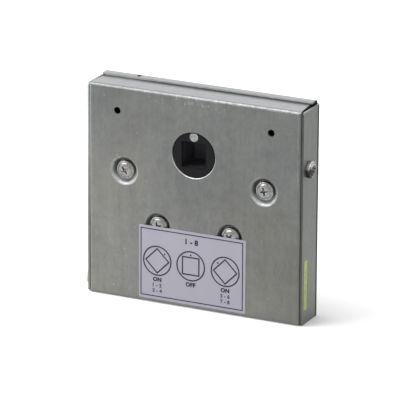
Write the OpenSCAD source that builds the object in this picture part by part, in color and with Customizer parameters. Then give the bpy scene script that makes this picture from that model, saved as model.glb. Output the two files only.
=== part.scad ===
// Valve position switch: sheet-metal box, stem rotor with a cam, two roller-lever switches.
// Millimetres. X is right, Y is back, Z is up. The origin is under the middle of the box,
// on the surface that the box stands on. The box is as deep in front of it as behind it.

/* [Box] */
// Width of the front cover
cover_w = 110; // [100:1:130]
// Height of the front cover
cover_h = 105; // [98:1:125]
// Depth of the whole box
case_d = 19.5; // [17.5:0.1:24]
// Thickness of the galvanised sheet
sheet_t = 1; // [0.8:0.1:1.1]
// Outer radius of the bends
bend_r = 1.8; // [1.4:0.1:2.5]
// Clearance between the cover's flanges and the housing
fit_gap = 0.1; // [0.05:0.05:0.2]
// Depth of the lip that the housing folds over the cover's top
lip_d = 5.6; // [4:0.1:7]
// Depth of the housing's bottom flange, inside the cover
foot_d = 7; // [5:0.5:8]
// Distance that the side walls stay behind the cover's face
wall_setback = 0.9; // [0.5:0.1:2]
// Gap of the open corners between the top flanges and the side walls
corner_gap = 0.5; // [0.3:0.1:1]
// Distance of the side walls' top edges under the top of the lip
wall_drop = 1.7; // [1.3:0.1:2.5]

/* [Mounting holes] */
// Radius of the two mounting holes
mount_hole_r = 1.7; // [1.2:0.1:2.5]
// Distance between the mounting holes
mount_spacing = 79.8; // [74:0.2:84]
// Distance of the mounting holes from the top edge
mount_drop = 12; // [8:0.1:13]
// Radius of the small hole in the top lip
lip_hole_r = 1.3; // [0.8:0.1:1.3]
// Distance of that hole from the box's middle, to the left
lip_hole_x = 36.2; // [30:0.1:42]
// Distance of that hole from the box's back
lip_hole_back = 3.1; // [3.1:0.1:4]

/* [Stem and rotor] */
// Distance of the stem axis from the top edge
stem_drop = 28.7; // [27:0.1:32]
// Radius of the stem hole in the cover
stem_hole_r = 11.1; // [11:0.1:12]
// Radius of the stem hole's rounded front edge
stem_edge_r = 0.5; // [0.2:0.1:0.6]
// Gap between the rotor's boss and the stem hole around it
boss_gap = 0.4; // [0.3:0.1:0.6]
// Distance that the boss stays behind the cover's face
boss_setback = 0.3; // [0.1:0.1:0.8]
// Side of the square socket for the valve stem
socket_side = 12.7; // [10:0.1:13.5]
// Depth of the socket
socket_d = 13.7; // [9:0.1:13.7]
// Radius of the rotor's front disc
disc_r = 13.6; // [13:0.1:15]
// Thickness of the rotor's front disc
disc_t = 2.4; // [1.5:0.1:2.5]
// Radius of the rotor's shoulder, in front of the cam
shoulder_r = 12.6; // [12.3:0.1:12.9]
// Radius of the rotor's barrel, behind the shoulder
barrel_r = 11.5; // [11:0.1:11.8]
// Width over the two flats of the barrel
barrel_flats = 20.8; // [20:0.1:21.4]
// Radius of the rotor's rear journal
journal_r = 5; // [4:0.1:6]
// Radial running clearance of the turning fits
run_gap = 0.05; // [0.02:0.01:0.08]
// Radius of the index dot
dot_r = 2.15; // [1:0.05:2.3]
// Depth of the index dot's pocket
dot_t = 0.4; // [0.2:0.1:0.8]
// Distance of the index dot from the stem axis
dot_dist = 8.9; // [8.8:0.1:9.1]
// Thickness of the washer between the rotor and the cover
washer_t = 0.4; // [0.3:0.05:0.5]
// Angle that the rotor turns each way from OFF
rotor_turn = 45; // [30:1:50]

/* [Rear bush] */
// Outer radius of the bush's flange
bush_flange_r = 8.5; // [7.5:0.1:10]
// Thickness of the bush's flange
bush_flange_t = 1.4; // [1:0.1:1.5]
// Outer radius of the bush in the back plate
bush_r = 6.5; // [6.2:0.1:7]

/* [Cam] */
// Thickness of the cam
cam_t = 3.4; // [2.5:0.1:3.6]
// Distance of the roller's centre from the stem axis at OFF
roller_dist = 18.8; // [18.4:0.1:19.5]
// Clearance between the cam and the rollers
cam_gap = 0.15; // [0.1:0.01:0.3]
// Angle that a lever swings while the rotor turns to ON
lever_swing = 5.2; // [3:0.1:6]
// Thickness of the cam's retaining ring
ring_t = 0.8; // [0.6:0.1:1]

/* [Face screws and brackets] */
// Radius of the screws' pan heads
screw_head_r = 4.7; // [4:0.1:4.8]
// Height of the screws' pan heads
screw_head_h = 2.9; // [2:0.1:2.9]
// Radius of the screws' threaded shanks
screw_r = 2.4; // [2:0.1:2.5]
// Depth of the dimples in the cover
dimple_d = 3; // [3:0.1:3.5]
// Radius of the dimples' floors
dimple_floor_r = 5; // [4.9:0.1:5.4]
// Radius of the dimples at the cover's face, before the rim is rounded
dimple_rim_r = 6.7; // [6.4:0.1:7.2]
// Rounding of the dimples' rims
dimple_round_r = 1.8; // [1:0.1:2]
// Distance between the two screws of one bracket
screw_spacing = 30.8; // [30.2:0.1:32]
// Distance of a bracket's screw line from the stem axis
screw_line_dist = 37; // [36:0.1:37.5]
// Tilt of the switches against upright
switch_tilt = 55.4; // [53:0.1:57]
// Thickness of the switch brackets
bracket_t = 1.5; // [1:0.1:1.6]
// Radial clearance of the screws in their holes
screw_gap = 0.1; // [0.05:0.01:0.2]

/* [Switches] */
// Length of a switch case
switch_l = 27.8; // [27.4:0.1:28.2]
// Height of a switch case
switch_h = 15.9; // [15.5:0.1:16.4]
// Room between the switch screws' heads and the back plate
rear_room = 1.1; // [0.5:0.1:2]
// Thickness of the switch case's cover
case_cover_t = 2.6; // [2:0.1:3]
// Distance between the case's mounting holes along the case
case_hole_l = 22.2; // [21.8:0.1:22.4]
// Distance between the case's mounting holes across the case
case_hole_h = 10.3; // [10:0.1:10.5]
// Radius of the switch screws
small_screw_r = 1.45; // [1.2:0.05:1.5]
// Radius of the switch screws' heads
small_head_r = 2.7; // [2.2:0.1:2.8]
// Height of the switch screws' heads
small_head_h = 1.6; // [1.2:0.1:1.8]
// Width of the terminal blades
blade_w = 4.75; // [3:0.05:5]
// Length of the terminal blades
blade_l = 6.4; // [4:0.1:7]
// Distance of the outer blades from the case's ends
blade_inset = 4.6; // [3.5:0.1:6]
// Distance of the middle blade from the middle of the case
blade_shift = 0.6; // [0:0.1:1.5]
// Thickness of the terminal blades
blade_t = 0.5; // [0.4:0.1:0.8]

/* [Levers] */
// Distance of the lever's pin from the middle of the case
pin_offset = 11; // [10.8:0.1:11.2]
// Height of the lever's pin above the case
pin_h = 0.9; // [0.8:0.1:1.2]
// Radius of the lever's pin
pin_r = 0.75; // [0.6:0.05:0.8]
// Angle of the lever against the case at OFF
lever_rest = 8; // [7:0.1:9]
// Distance from the lever's pin to the roller, along the lever
lever_l = 19; // [18.6:0.1:19.4]
// Width of the lever
lever_w = 5.1; // [4.9:0.1:5.2]
// Thickness of the lever's sheet
lever_t = 0.5; // [0.4:0.05:0.6]
// Radius of the rollers
roller_r = 2.4; // [2:0.1:2.5]
// Width of the rollers
roller_w = 3.8; // [3.5:0.1:3.8]
// Distance from the lever's pin to the plunger
plunger_arm = 6.5; // [6:0.1:7]
// Radius of the plungers
plunger_r = 1.25; // [1:0.05:1.4]
// Length of the plungers' straight part
plunger_l = 4; // [3:0.5:6]

/* [Label, strip and lead outlet] */
// Width of the label
label_w = 55.8; // [50:0.1:60]
// Distance of the label's upper edge below the stem axis
label_drop = 37.9; // [35:0.1:45]
// Height of the label's lower edge above the cover's lower edge
label_lift = 1.9; // [1.9:0.1:4]
// Thickness of the label
label_t = 0.15; // [0.1:0.05:0.3]
// Distance of the label's middle to the right of the box's middle
label_shift = -0.4; // [-3:0.1:3]
// Radius of the label's corners
label_corner_r = 0.6; // [0.4:0.1:3]
// Width of the inspection strip
strip_w = 3.4; // [2:0.1:5]
// Height of the inspection strip
strip_h = 24.5; // [15:0.5:30]
// Height of the strip's lower end
strip_lift = 7; // [3:0.5:20]
// Distance of the strip behind the cover's face
strip_back = 3; // [2:0.1:5]
// Thickness of the strip
strip_t = 0.12; // [0.1:0.02:0.2]
// Distance of the cover screw and the lead outlet behind the cover's face
side_back = 7.7; // [7:0.1:8.5]
// Height of the cover screw
cover_screw_z = 75.5; // [60:0.5:85]
// Radius of the cover screw's head
cover_head_r = 4.1; // [3.6:0.1:4.3]
// Height of the cover screw's head
cover_head_h = 2.5; // [2:0.1:2.9]
// Length of the cover screw's shank
cover_screw_l = 6; // [4:0.5:7]
// Height of the lead outlet
lead_z = 5.8; // [5.6:0.1:9]
// Radius of the lead outlet's bore
lead_r = 2.4; // [1.5:0.1:2.5]
// Wall of the lead bushing
lead_wall = 0.7; // [0.5:0.1:0.8]
// Radius of the lead bushing's flange
lead_flange_r = 4.2; // [3.8:0.1:4.5]
// Height of the lead bushing's flange
lead_flange_h = 2.9; // [2:0.1:3.5]

/* [Hidden] */
$fn = 64;
front_y = -case_d / 2;
back_y = case_d / 2;
axis_z = cover_h - stem_drop;
wall_gap = fit_gap + sheet_t;
housing_w = cover_w + 2 * wall_gap;
housing_h = cover_h + wall_gap;
inner_r = bend_r - sheet_t;
plate_y = back_y - sheet_t;

// Places along the stem axis, front to back
rotor_front_y = front_y + sheet_t + washer_t + 2 * run_gap;
disc_back_y = rotor_front_y + disc_t;
boss_front_y = front_y + boss_setback;
boss_r = stem_hole_r - boss_gap;
bracket_y = front_y + dimple_d + sheet_t;
switch_t = plate_y - rear_room - small_head_h - bracket_y - bracket_t;
switch_y = bracket_y + bracket_t + switch_t / 2;
cam_front_y = switch_y - cam_t / 2;
cam_back_y = switch_y + cam_t / 2;
bush_front_y = plate_y - bush_flange_t;
barrel_back_y = bush_front_y - run_gap;
journal_inset = 0.2;
journal_back_y = back_y - journal_inset;
ring_gap = 0.05;
ring_front_y = cam_back_y + ring_gap;
ring_over = 1.9;
groove_d = 0.9;
ring_r = barrel_r + ring_over;
groove_r = barrel_r - groove_d;

// Screw heads: edge rounding and driver recess as shares of the head's size
head_round_share = 0.45;
recess_r_share = 0.52;
recess_w_share = 0.34;
recess_d_share = 0.55;

// Distance that a screw's end stays behind the far face
screw_end_gap = 0.1;

// Fits of small pieces that stay still
seat_gap = 0.02;
sliver = 0.01;

// Switch frame: X along the case towards the roller, Z from the case towards the stem,
// origin in the middle of the case's top face
hub_x = 5.15;
roller_over_pin = 1.7;
roller_lift = roller_r + roller_over_pin;
lever_reach = sqrt(lever_l * lever_l + roller_lift * roller_lift);
reach_angle = lever_rest + atan2(roller_lift, lever_l);
roller_x = -pin_offset + lever_reach * cos(reach_angle);
roller_z = pin_h + lever_reach * sin(reach_angle);
hub_z = roller_z + sqrt(roller_dist * roller_dist - (roller_x - hub_x) * (roller_x - hub_x));
screw_z = hub_z - screw_line_dist;
swing_ratio = lever_swing / rotor_turn;

// Lever sheet: its underside runs a little above the pin
lever_under = pin_r + 0.15;
lug_r = 1.5;
lug_gap = 0.3;
roller_pin_r = 0.8;
ear_gap = 0.1;
ear_in = lever_w / 2 + ear_gap;
ear_step = 0.6;
ear_w = switch_t / 2 - ear_step - ear_in;

// Plunger: a round tip with a small flat, just under the lever
plunger_x = plunger_arm - pin_offset;
plunger_gap = 0.12;
tip_z = pin_h + plunger_arm * tan(lever_rest)
    + (lever_under - plunger_r - plunger_gap) / cos(lever_rest);
plunger_travel = plunger_arm * lever_swing * PI / 180;
plunger_bore_gap = 0.06;

// Switch brackets: length past the screws, place against the case, corners
bracket_over = 4.8;
bracket_shift = 0.8;
bracket_corner_r = 4;

// Case mounting holes, near opposite corners
case_hole_z = -(switch_h - case_hole_h) / 2;
case_holes = [
    [case_hole_l / 2, case_hole_z],
    [-case_hole_l / 2, case_hole_z - case_hole_h]
];
case_r = 1;

// Cam outline: steps of the rotor's turn, and how far past the limits the profile runs
cam_step = 3;
cam_overrun = 6;
cam_run = rotor_turn + cam_overrun;
arc_steps = 4;

// Folded sheet: ends of the flanges, heights of the side walls, open corners
flange_end_y = plate_y - 1;
top_end_x = cover_w / 2 - corner_gap;
flange_taper = 1.5;
corner_slot = 2.2;
wall_high = housing_h - wall_drop;
wall_corner_r = 1.6;

// Helpers: extrusions along the three axes, and the places of the two switches

// Outline in X and Z, extruded from y0 to y1
module along_y(y0, y1) {
    translate([0, y1, 0])
        rotate([90, 0, 0])
            linear_extrude(y1 - y0)
                children();
}

// Outline in Y and Z, extruded from x0 to x1
module along_x(x0, x1) {
    translate([x0, 0, 0])
        rotate([90, 0, 90])
            linear_extrude(x1 - x0)
                children();
}

// Cylinder along Y at a place in X and Z
module rod_y(place, r, y0, y1) {
    translate([place[0], y0, place[1]])
        rotate([-90, 0, 0])
            cylinder(h = y1 - y0, r = r);
}

// Cylinder along X at a place in Y and Z
module rod_x(place, r, x0, x1) {
    translate([x0, place[0], place[1]])
        rotate([0, 90, 0])
            cylinder(h = x1 - x0, r = r);
}

// Moves the stem axis to its place in the box
module at_stem() {
    translate([0, 0, axis_z])
        children();
}

// Moves a piece from the switch frame to the right switch
module on_right() {
    at_stem()
        rotate([0, -switch_tilt, 0])
            translate([-hub_x, 0, -hub_z])
                children();
}

// The left switch stands opposite
module on_left() {
    mirror([1, 0, 0])
        on_right()
            children();
}

// The left switch is the same switch turned round, so front and back change places
module turned_round() {
    translate([0, switch_y, 0])
        mirror([0, 1, 0])
            translate([0, -switch_y, 0])
                children();
}

// Rectangle from 0 to d in Y, w wide, with the two corners at Y = 0 rounded
module fold_outline(w, d, r) {
    translate([-w / 2, r])
        square([w, d - r]);
    translate([-w / 2 + r, 0])
        square([w - 2 * r, d]);
    for (side = [-1, 1])
        translate([side * (w / 2 - r), r])
            circle(r = r);
}

// Rectangle with four round corners, from one corner point to the other
module round_box(low, high, r) {
    size = high - low;
    translate(low + [r, 0])
        square([size[0] - 2 * r, size[1]]);
    translate(low + [0, r])
        square([size[0], size[1] - 2 * r]);
    for (i = [0, 1], j = [0, 1])
        translate(low + [r + i * (size[0] - 2 * r), r + j * (size[1] - 2 * r)])
            circle(r = r);
}

// Cross-shaped driver recess, cut down from Z = 0
module cross_recess(r, depth) {
    arm_w = r * recess_w_share;
    for (a = [0, 90])
        rotate(a)
            translate([-r, -arm_w / 2, -depth])
                cube([2 * r, arm_w, depth + sliver]);
}

// Pan-head screw along Z: shank below Z = 0, head above it
module pan_screw(head_r, head_h, shank_r, shank_l) {
    edge_r = head_h * head_round_share;
    difference() {
        union() {
            rotate_extrude()
                union() {
                    square([head_r - edge_r, head_h]);
                    square([head_r, head_h - edge_r]);
                    translate([head_r - edge_r, head_h - edge_r])
                        circle(r = edge_r);
                }
            translate([0, 0, -shank_l])
                cylinder(h = shank_l + sliver, r = shank_r);
        }
        translate([0, 0, head_h])
            cross_recess(head_r * recess_r_share, head_h * recess_d_share);
    }
}

// Front cover

// Solid block with rounded front edges; inset shrinks it by the sheet on each side
module cover_block(inset, depth) {
    r = bend_r - inset;
    intersection() {
        translate([0, front_y + inset, 0])
            linear_extrude(cover_h)
                fold_outline(cover_w - 2 * inset, depth, r);
        along_x(-cover_w / 2, cover_w / 2)
            translate([front_y + inset, cover_h / 2])
                rotate(-90)
                    fold_outline(cover_h - 2 * inset, depth, r);
    }
}

// Places of the four bracket screws, relative to the stem axis
function screw_place(side, end) =
    let (x = end * screw_spacing / 2 - hub_x, z = -screw_line_dist)
    [
        side * (x * cos(switch_tilt) - z * sin(switch_tilt)),
        axis_z + x * sin(switch_tilt) + z * cos(switch_tilt)
    ];

screw_places = [for (side = [-1, 1], end = [-1, 1]) screw_place(side, end)];

mount_places = [for (side = [-1, 1]) [side * mount_spacing / 2, cover_h - mount_drop]];

module at_screws() {
    for (place = screw_places)
        translate([place[0], front_y, place[1]])
            rotate([-90, 0, 0])
                children();
}

// The open corner of the folded flanges, upper right
module corner_cut() {
    translate([top_end_x, front_y + bend_r, cover_h - corner_slot])
        cube([2, case_d, corner_slot + 1]);
    translate([cover_w / 2 - 1.5 * sheet_t, front_y + bend_r, cover_h - corner_slot])
        cube([2, case_d, corner_slot - sheet_t]);
}

// The end of the top flange leans in towards the back
module flange_taper_cut() {
    translate([0, 0, cover_h - corner_slot])
        linear_extrude(2 * corner_slot)
            polygon([
                [top_end_x + 2, front_y + bend_r],
                [top_end_x, front_y + bend_r],
                [top_end_x - flange_taper, flange_end_y],
                [top_end_x - flange_taper, flange_end_y + 1],
                [top_end_x + 2, flange_end_y + 1]
            ]);
}

// Hole through the top lip and the flange under it
module lip_hole() {
    translate([-lip_hole_x, back_y - lip_hole_back, cover_h - bend_r])
        cylinder(h = 3 * bend_r, r = lip_hole_r);
}

// Hollow of a dimple, from the face down; the rim is rounded by an arc between face and cone
module dimple_hollow() {
    slope = atan2(dimple_d, dimple_rim_r - dimple_floor_r);
    reach = dimple_round_r * tan(slope / 2);
    arc_at = [dimple_rim_r + reach, dimple_round_r];
    cylinder(h = dimple_d, r1 = dimple_rim_r, r2 = dimple_floor_r);
    rotate_extrude()
        difference() {
            polygon([
                [dimple_floor_r / 2, -1],
                [arc_at[0], -1],
                arc_at,
                [dimple_rim_r - reach * cos(slope), reach * sin(slope)],
                [dimple_floor_r / 2, reach * sin(slope)]
            ]);
            translate(arc_at)
                circle(r = dimple_round_r);
        }
}

// Rounds the front edge of the stem hole
module stem_hole_edge() {
    translate([0, front_y, axis_z])
        rotate([-90, 0, 0])
            rotate_extrude()
                difference() {
                    translate([stem_hole_r - 1, -1])
                        square([1 + stem_edge_r, 1 + stem_edge_r]);
                    translate([stem_hole_r + stem_edge_r, stem_edge_r])
                        circle(r = stem_edge_r);
                }
}

module front_cover() {
    slot_gap = 0.6;
    slot_r = lead_r + lead_wall + slot_gap;
    color([0.62, 0.64, 0.63])
        difference() {
            union() {
                difference() {
                    cover_block(0, flange_end_y - front_y);
                    cover_block(sheet_t, case_d);
                }
                at_screws()
                    translate([0, 0, sheet_t / 2])
                        cylinder(h = dimple_d + sheet_t / 2, r1 = dimple_rim_r + sheet_t,
                            r2 = dimple_floor_r + sheet_t);
            }
            at_screws()
                dimple_hollow();
            at_screws()
                cylinder(h = case_d, r = screw_r + screw_gap);
            rod_y([0, axis_z], stem_hole_r, front_y - 1, front_y + 2 * sheet_t);
            stem_hole_edge();
            for (place = mount_places)
                rod_y(place, mount_hole_r, front_y - 1, front_y + 2 * sheet_t);
            for (side = [0, 1])
                mirror([side, 0, 0]) {
                    corner_cut();
                    flange_taper_cut();
                    translate([0, 0, cover_h])
                        mirror([0, 0, 1])
                            corner_cut();
                }
            lip_hole();
            rod_x([front_y + side_back, cover_screw_z], screw_r + screw_gap, 0, cover_w);
            // Slot that lets the left flange slide past the lead bushing
            translate([-cover_w, front_y + side_back - slot_r, lead_z - slot_r])
                cube([cover_w / 2 + 5, case_d, 2 * slot_r]);
        }
}

// Back housing

// Back plate with its side walls, inset by the sheet for the hollow
module wall_outline(inset, depth) {
    translate([0, back_y - inset])
        mirror([0, 1])
            fold_outline(housing_w - 2 * inset, depth, bend_r - inset);
}

// Back plate with its top lip and bottom flange, inset by the sheet for the hollow
module channel_outline(inset, depth) {
    translate([back_y - inset, (housing_h + wall_gap) / 2])
        rotate(90)
            fold_outline(housing_h - wall_gap - 2 * inset, depth, bend_r - inset);
}

module housing_walls() {
    difference() {
        intersection() {
            linear_extrude(wall_high)
                wall_outline(0, case_d - wall_setback);
            along_x(-housing_w, housing_w)
                translate([front_y + wall_setback, wall_high / 2])
                    rotate(-90)
                        fold_outline(wall_high, case_d, wall_corner_r);
        }
        translate([0, 0, -1])
            linear_extrude(housing_h + 2)
                wall_outline(sheet_t, case_d);
        // The folds of the lip and the bottom flange are free of the walls
        for (z = [-1, housing_h - bend_r])
            translate([-top_end_x - corner_gap, front_y, z])
                cube([2 * (top_end_x + corner_gap), case_d + 1, 1 + bend_r + (z < 0 ? wall_gap : 0)]);
    }
}

module housing_channel() {
    along_x(-top_end_x, top_end_x)
        difference() {
            channel_outline(0, foot_d);
            channel_outline(sheet_t, case_d);
            translate([front_y, cover_h])
                square([case_d - lip_d, 2 * sheet_t + 1]);
        }
}

module back_housing() {
    color([0.58, 0.60, 0.59])
        difference() {
            union() {
                housing_walls();
                housing_channel();
            }
            rod_y([0, axis_z], bush_r + seat_gap, plate_y - 1, back_y + 1);
            for (place = mount_places)
                rod_y(place, mount_hole_r, plate_y - 1, back_y + 1);
            lip_hole();
            rod_x([front_y + side_back, cover_screw_z], screw_r + screw_gap, 0, housing_w);
            rod_x([front_y + side_back, lead_z], lead_r + lead_wall + seat_gap, -housing_w, 0);
        }
}

// Fasteners, label and strip

module bracket_screws() {
    color([0.72, 0.73, 0.72])
        for (i = [0:len(screw_places) - 1])
            translate([screw_places[i][0], front_y + dimple_d, screw_places[i][1]])
                rotate([90, 0, 0])
                    rotate(15 + 25 * i)
                        pan_screw(screw_head_r, screw_head_h, screw_r,
                            sheet_t + bracket_t - screw_end_gap);
}

module cover_screw() {
    color([0.72, 0.73, 0.72])
        translate([housing_w / 2, front_y + side_back, cover_screw_z])
            rotate([0, 90, 0])
                rotate(20)
                    pan_screw(cover_head_r, cover_head_h, screw_r, cover_screw_l);
}

module position_label() {
    color([0.80, 0.79, 0.86])
        along_y(front_y - label_t, front_y)
            round_box([label_shift - label_w / 2, label_lift],
                [label_shift + label_w / 2, axis_z - label_drop], label_corner_r);
}

module inspection_strip() {
    color([0.68, 0.74, 0.25])
        translate([housing_w / 2, front_y + strip_back, strip_lift])
            cube([strip_t, strip_w, strip_h]);
}

// Snap-in bushing: flange outside the left wall, nose and catch inside it
module lead_bushing() {
    nose_r = lead_r + lead_wall;
    nose_reach = 2.2;
    nose_l = sheet_t + nose_reach;
    catch_gap = 0.1;
    catch_step = 0.4;
    round_r = 1;
    color([0.90, 0.90, 0.86])
        translate([-housing_w / 2, front_y + side_back, lead_z])
            rotate([0, -90, 0])
                difference() {
                    union() {
                        rotate_extrude()
                            union() {
                                square([lead_flange_r - round_r, lead_flange_h]);
                                square([lead_flange_r, lead_flange_h - round_r]);
                                translate([lead_flange_r - round_r, lead_flange_h - round_r])
                                    circle(r = round_r);
                            }
                        translate([0, 0, -nose_l])
                            cylinder(h = nose_l + sliver, r = nose_r);
                        translate([0, 0, -nose_l])
                            cylinder(h = nose_reach - catch_gap, r1 = nose_r, r2 = nose_r + catch_step);
                    }
                    translate([0, 0, -nose_l - 1])
                        cylinder(h = nose_l + lead_flange_h + 2, r = lead_r);
                }
}

// Rotor and what turns with it

module rotor() {
    color([0.10, 0.10, 0.11])
        difference() {
            union() {
                rod_y([0, axis_z], boss_r, boss_front_y, rotor_front_y + sliver);
                rod_y([0, axis_z], disc_r, rotor_front_y, disc_back_y);
                rod_y([0, axis_z], shoulder_r, disc_back_y - sliver, cam_front_y);
                intersection() {
                    rod_y([0, axis_z], barrel_r, cam_front_y - sliver, barrel_back_y);
                    translate([-barrel_flats / 2, front_y, axis_z - 2 * barrel_r])
                        cube([barrel_flats, case_d, 4 * barrel_r]);
                }
                rod_y([0, axis_z], journal_r, barrel_back_y - sliver, journal_back_y);
            }
            at_stem()
                along_y(boss_front_y - 1, boss_front_y + socket_d)
                    square([socket_side, socket_side], center = true);
            rod_y([0, axis_z + dot_dist], dot_r + seat_gap, boss_front_y - 1, boss_front_y + dot_t);
            // Groove for the retaining ring
            at_stem()
                along_y(ring_front_y - ring_gap / 2, ring_front_y + ring_t + ring_gap / 2)
                    difference() {
                        circle(r = ring_r);
                        circle(r = groove_r);
                    }
        }
}

module index_dot() {
    color([0.85, 0.86, 0.84])
        intersection() {
            rod_y([0, axis_z + dot_dist], dot_r, boss_front_y, boss_front_y + dot_t);
            rod_y([0, axis_z], boss_r, front_y, boss_front_y + 1);
        }
}

// Counter-clockwise turn of a point, seen from the front
function turned(p, a) = [p[0] * cos(a) - p[1] * sin(a), p[0] * sin(a) + p[1] * cos(a)];

// Right roller's centre from the stem axis, after the rotor has turned by a towards that switch
function roller_at(a) =
    let (reach = reach_angle - swing_ratio * a)
    turned([
        lever_reach * cos(reach) - pin_offset - hub_x,
        lever_reach * sin(reach) + pin_h - hub_z
    ], switch_tilt);

// The same centre as the cam sees it
function on_cam(a) = turned(roller_at(a), -a);

// Point of the cam's edge under the roller: the centre moved in along the path's normal
function cam_edge(a) =
    let (path = on_cam(a + 0.5) - on_cam(a - 0.5), inward = [path[1], -path[0]] / norm(path))
    on_cam(a) + inward * (roller_r + cam_gap);

// Arc between two angles about the stem axis, without its end points
function cam_arc(r, from, to) = [
    for (i = [1:arc_steps - 1])
        let (a = from + (to - from) * i / arc_steps)
        [r * cos(a), r * sin(a)]
];

function mirrored(points) = [
    for (i = [len(points) - 1:-1:0])
        [-points[i][0], points[i][1]]
];

function angle_of(p) = atan2(p[1], p[0]);

cam_flank = [for (a = [-cam_run:cam_step:cam_run]) cam_edge(a)];
cam_low = cam_flank[0];
cam_high = cam_flank[len(cam_flank) - 1];
cam_points = concat(
    cam_flank,
    cam_arc(norm(cam_high), angle_of(cam_high), -180 - angle_of(cam_high)),
    mirrored(cam_flank),
    cam_arc(norm(cam_low), 180 - angle_of(cam_low), angle_of(cam_low))
);

module cam() {
    color([0.93, 0.92, 0.88])
        at_stem()
            along_y(cam_front_y, cam_back_y)
                difference() {
                    polygon(cam_points);
                    intersection() {
                        circle(r = barrel_r + seat_gap);
                        square([barrel_flats + 2 * seat_gap, 4 * barrel_r], center = true);
                    }
                }
}

// External retaining ring with two lugs for its pliers
module cam_retaining_ring() {
    lug_angle = 16;
    ring_lug_r = 1.5;
    plier_hole_r = 0.6;
    mouth_angle = lug_angle * 0.6;
    color([0.35, 0.36, 0.38])
        at_stem()
            along_y(ring_front_y, ring_front_y + ring_t)
                difference() {
                    union() {
                        circle(r = ring_r);
                        for (side = [-1, 1])
                            rotate(side * lug_angle)
                                translate([0, ring_r])
                                    circle(r = ring_lug_r);
                    }
                    circle(r = groove_r + seat_gap);
                    polygon([
                        [0, 0],
                        [-2 * ring_r * sin(mouth_angle), 2 * ring_r * cos(mouth_angle)],
                        [2 * ring_r * sin(mouth_angle), 2 * ring_r * cos(mouth_angle)]
                    ]);
                    for (side = [-1, 1])
                        rotate(side * lug_angle)
                            translate([0, ring_r])
                                circle(r = plier_hole_r);
                }
}

module thrust_washer() {
    washer_y = front_y + sheet_t + run_gap;
    edge_gap = 0.2;
    color([0.95, 0.95, 0.92])
        at_stem()
            along_y(washer_y, washer_y + washer_t)
                difference() {
                    circle(r = disc_r - edge_gap);
                    circle(r = stem_hole_r + edge_gap);
                }
}

module rear_bush() {
    color([0.95, 0.95, 0.92])
        difference() {
            union() {
                rod_y([0, axis_z], bush_flange_r, bush_front_y, plate_y);
                rod_y([0, axis_z], bush_r, plate_y - sliver, back_y);
            }
            rod_y([0, axis_z], journal_r + run_gap, bush_front_y - 1, back_y + 1);
        }
}

// Switch pieces, drawn in the switch frame

module switch_bracket() {
    end_x = screw_spacing / 2 + bracket_over;
    color([0.62, 0.64, 0.63])
        difference() {
            along_y(bracket_y, bracket_y + bracket_t)
                round_box([-end_x, -switch_h - bracket_shift], [end_x, -bracket_shift], bracket_corner_r);
            for (side = [-1, 1])
                rod_y([side * screw_spacing / 2, screw_z], screw_r + seat_gap,
                    bracket_y - 1, bracket_y + bracket_t + 1);
            for (place = case_holes)
                rod_y(place, small_screw_r + seat_gap, bracket_y - 1, bracket_y + bracket_t + 1);
        }
}

// Outline of the case with the ear that carries the lever's pin
module case_block(y0, y1, ear_y0, ear_y1) {
    ear_wall = 0.85;
    ear_r = pin_r + ear_wall;
    along_y(y0, y1)
        round_box([-switch_l / 2, -switch_h], [switch_l / 2, 0], case_r);
    along_y(ear_y0, ear_y1)
        union() {
            translate([-pin_offset, pin_h])
                circle(r = ear_r);
            translate([-pin_offset - ear_r, -case_r])
                square([2 * ear_r, case_r + pin_h]);
        }
}

// Holes shared by the case and its cover: two for screws, one for the pin, room for the lever
module case_holes_cut() {
    for (place = case_holes)
        rod_y(place, small_screw_r + screw_gap, front_y, back_y);
    rod_y([-pin_offset, pin_h], pin_r + seat_gap, front_y, back_y);
    rod_y([-pin_offset, pin_h], lug_r + lug_gap, switch_y - ear_in, switch_y + ear_in);
}

module switch_case() {
    case_front_y = switch_y - switch_t / 2;
    bore_spare = 0.3;
    bore_bottom = tip_z - plunger_l - plunger_travel - bore_spare;
    color([0.16, 0.15, 0.15])
        difference() {
            case_block(case_front_y, case_front_y + switch_t - case_cover_t,
                switch_y - ear_in - ear_w, switch_y - ear_in);
            case_holes_cut();
            translate([plunger_x, switch_y, bore_bottom])
                cylinder(h = -bore_bottom + 1, r = plunger_r + plunger_bore_gap);
        }
}

module case_cover() {
    case_back_y = switch_y + switch_t / 2;
    frame_w = 2;
    recess = 0.3;
    color([0.24, 0.22, 0.21])
        difference() {
            case_block(case_back_y - case_cover_t, case_back_y, switch_y + ear_in,
                switch_y + ear_in + ear_w);
            case_holes_cut();
            along_y(case_back_y - recess, case_back_y + 1)
                round_box([-switch_l / 2 + 3 * frame_w, -switch_h + 1.2 * frame_w],
                    [switch_l / 2 - 3 * frame_w, -1.2 * frame_w], case_r);
        }
}

module plunger() {
    color([0.80, 0.20, 0.16])
        translate([plunger_x, switch_y, tip_z])
            rotate_extrude()
                intersection() {
                    union() {
                        circle(r = plunger_r);
                        translate([0, -plunger_l])
                            square([plunger_r, plunger_l]);
                    }
                    translate([0, -plunger_l])
                        square([plunger_r, plunger_l + 0.95 * plunger_r]);
                }
}

// Moves a piece from the lever's own frame, with its pin at the origin, to the switch frame
module at_lever() {
    translate([-pin_offset, 0, pin_h])
        rotate([0, -lever_rest, 0])
            children();
}

// Cheek of the lever: a round lug on a foot that reaches the strip
module lever_cheek(place, foot_z, hole_r) {
    difference() {
        union() {
            translate(place)
                circle(r = lug_r);
            translate([place[0] - lug_r, min(place[1], foot_z)])
                square([2 * lug_r, abs(place[1] - foot_z)]);
        }
        translate(place)
            circle(r = hole_r);
    }
}

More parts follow.
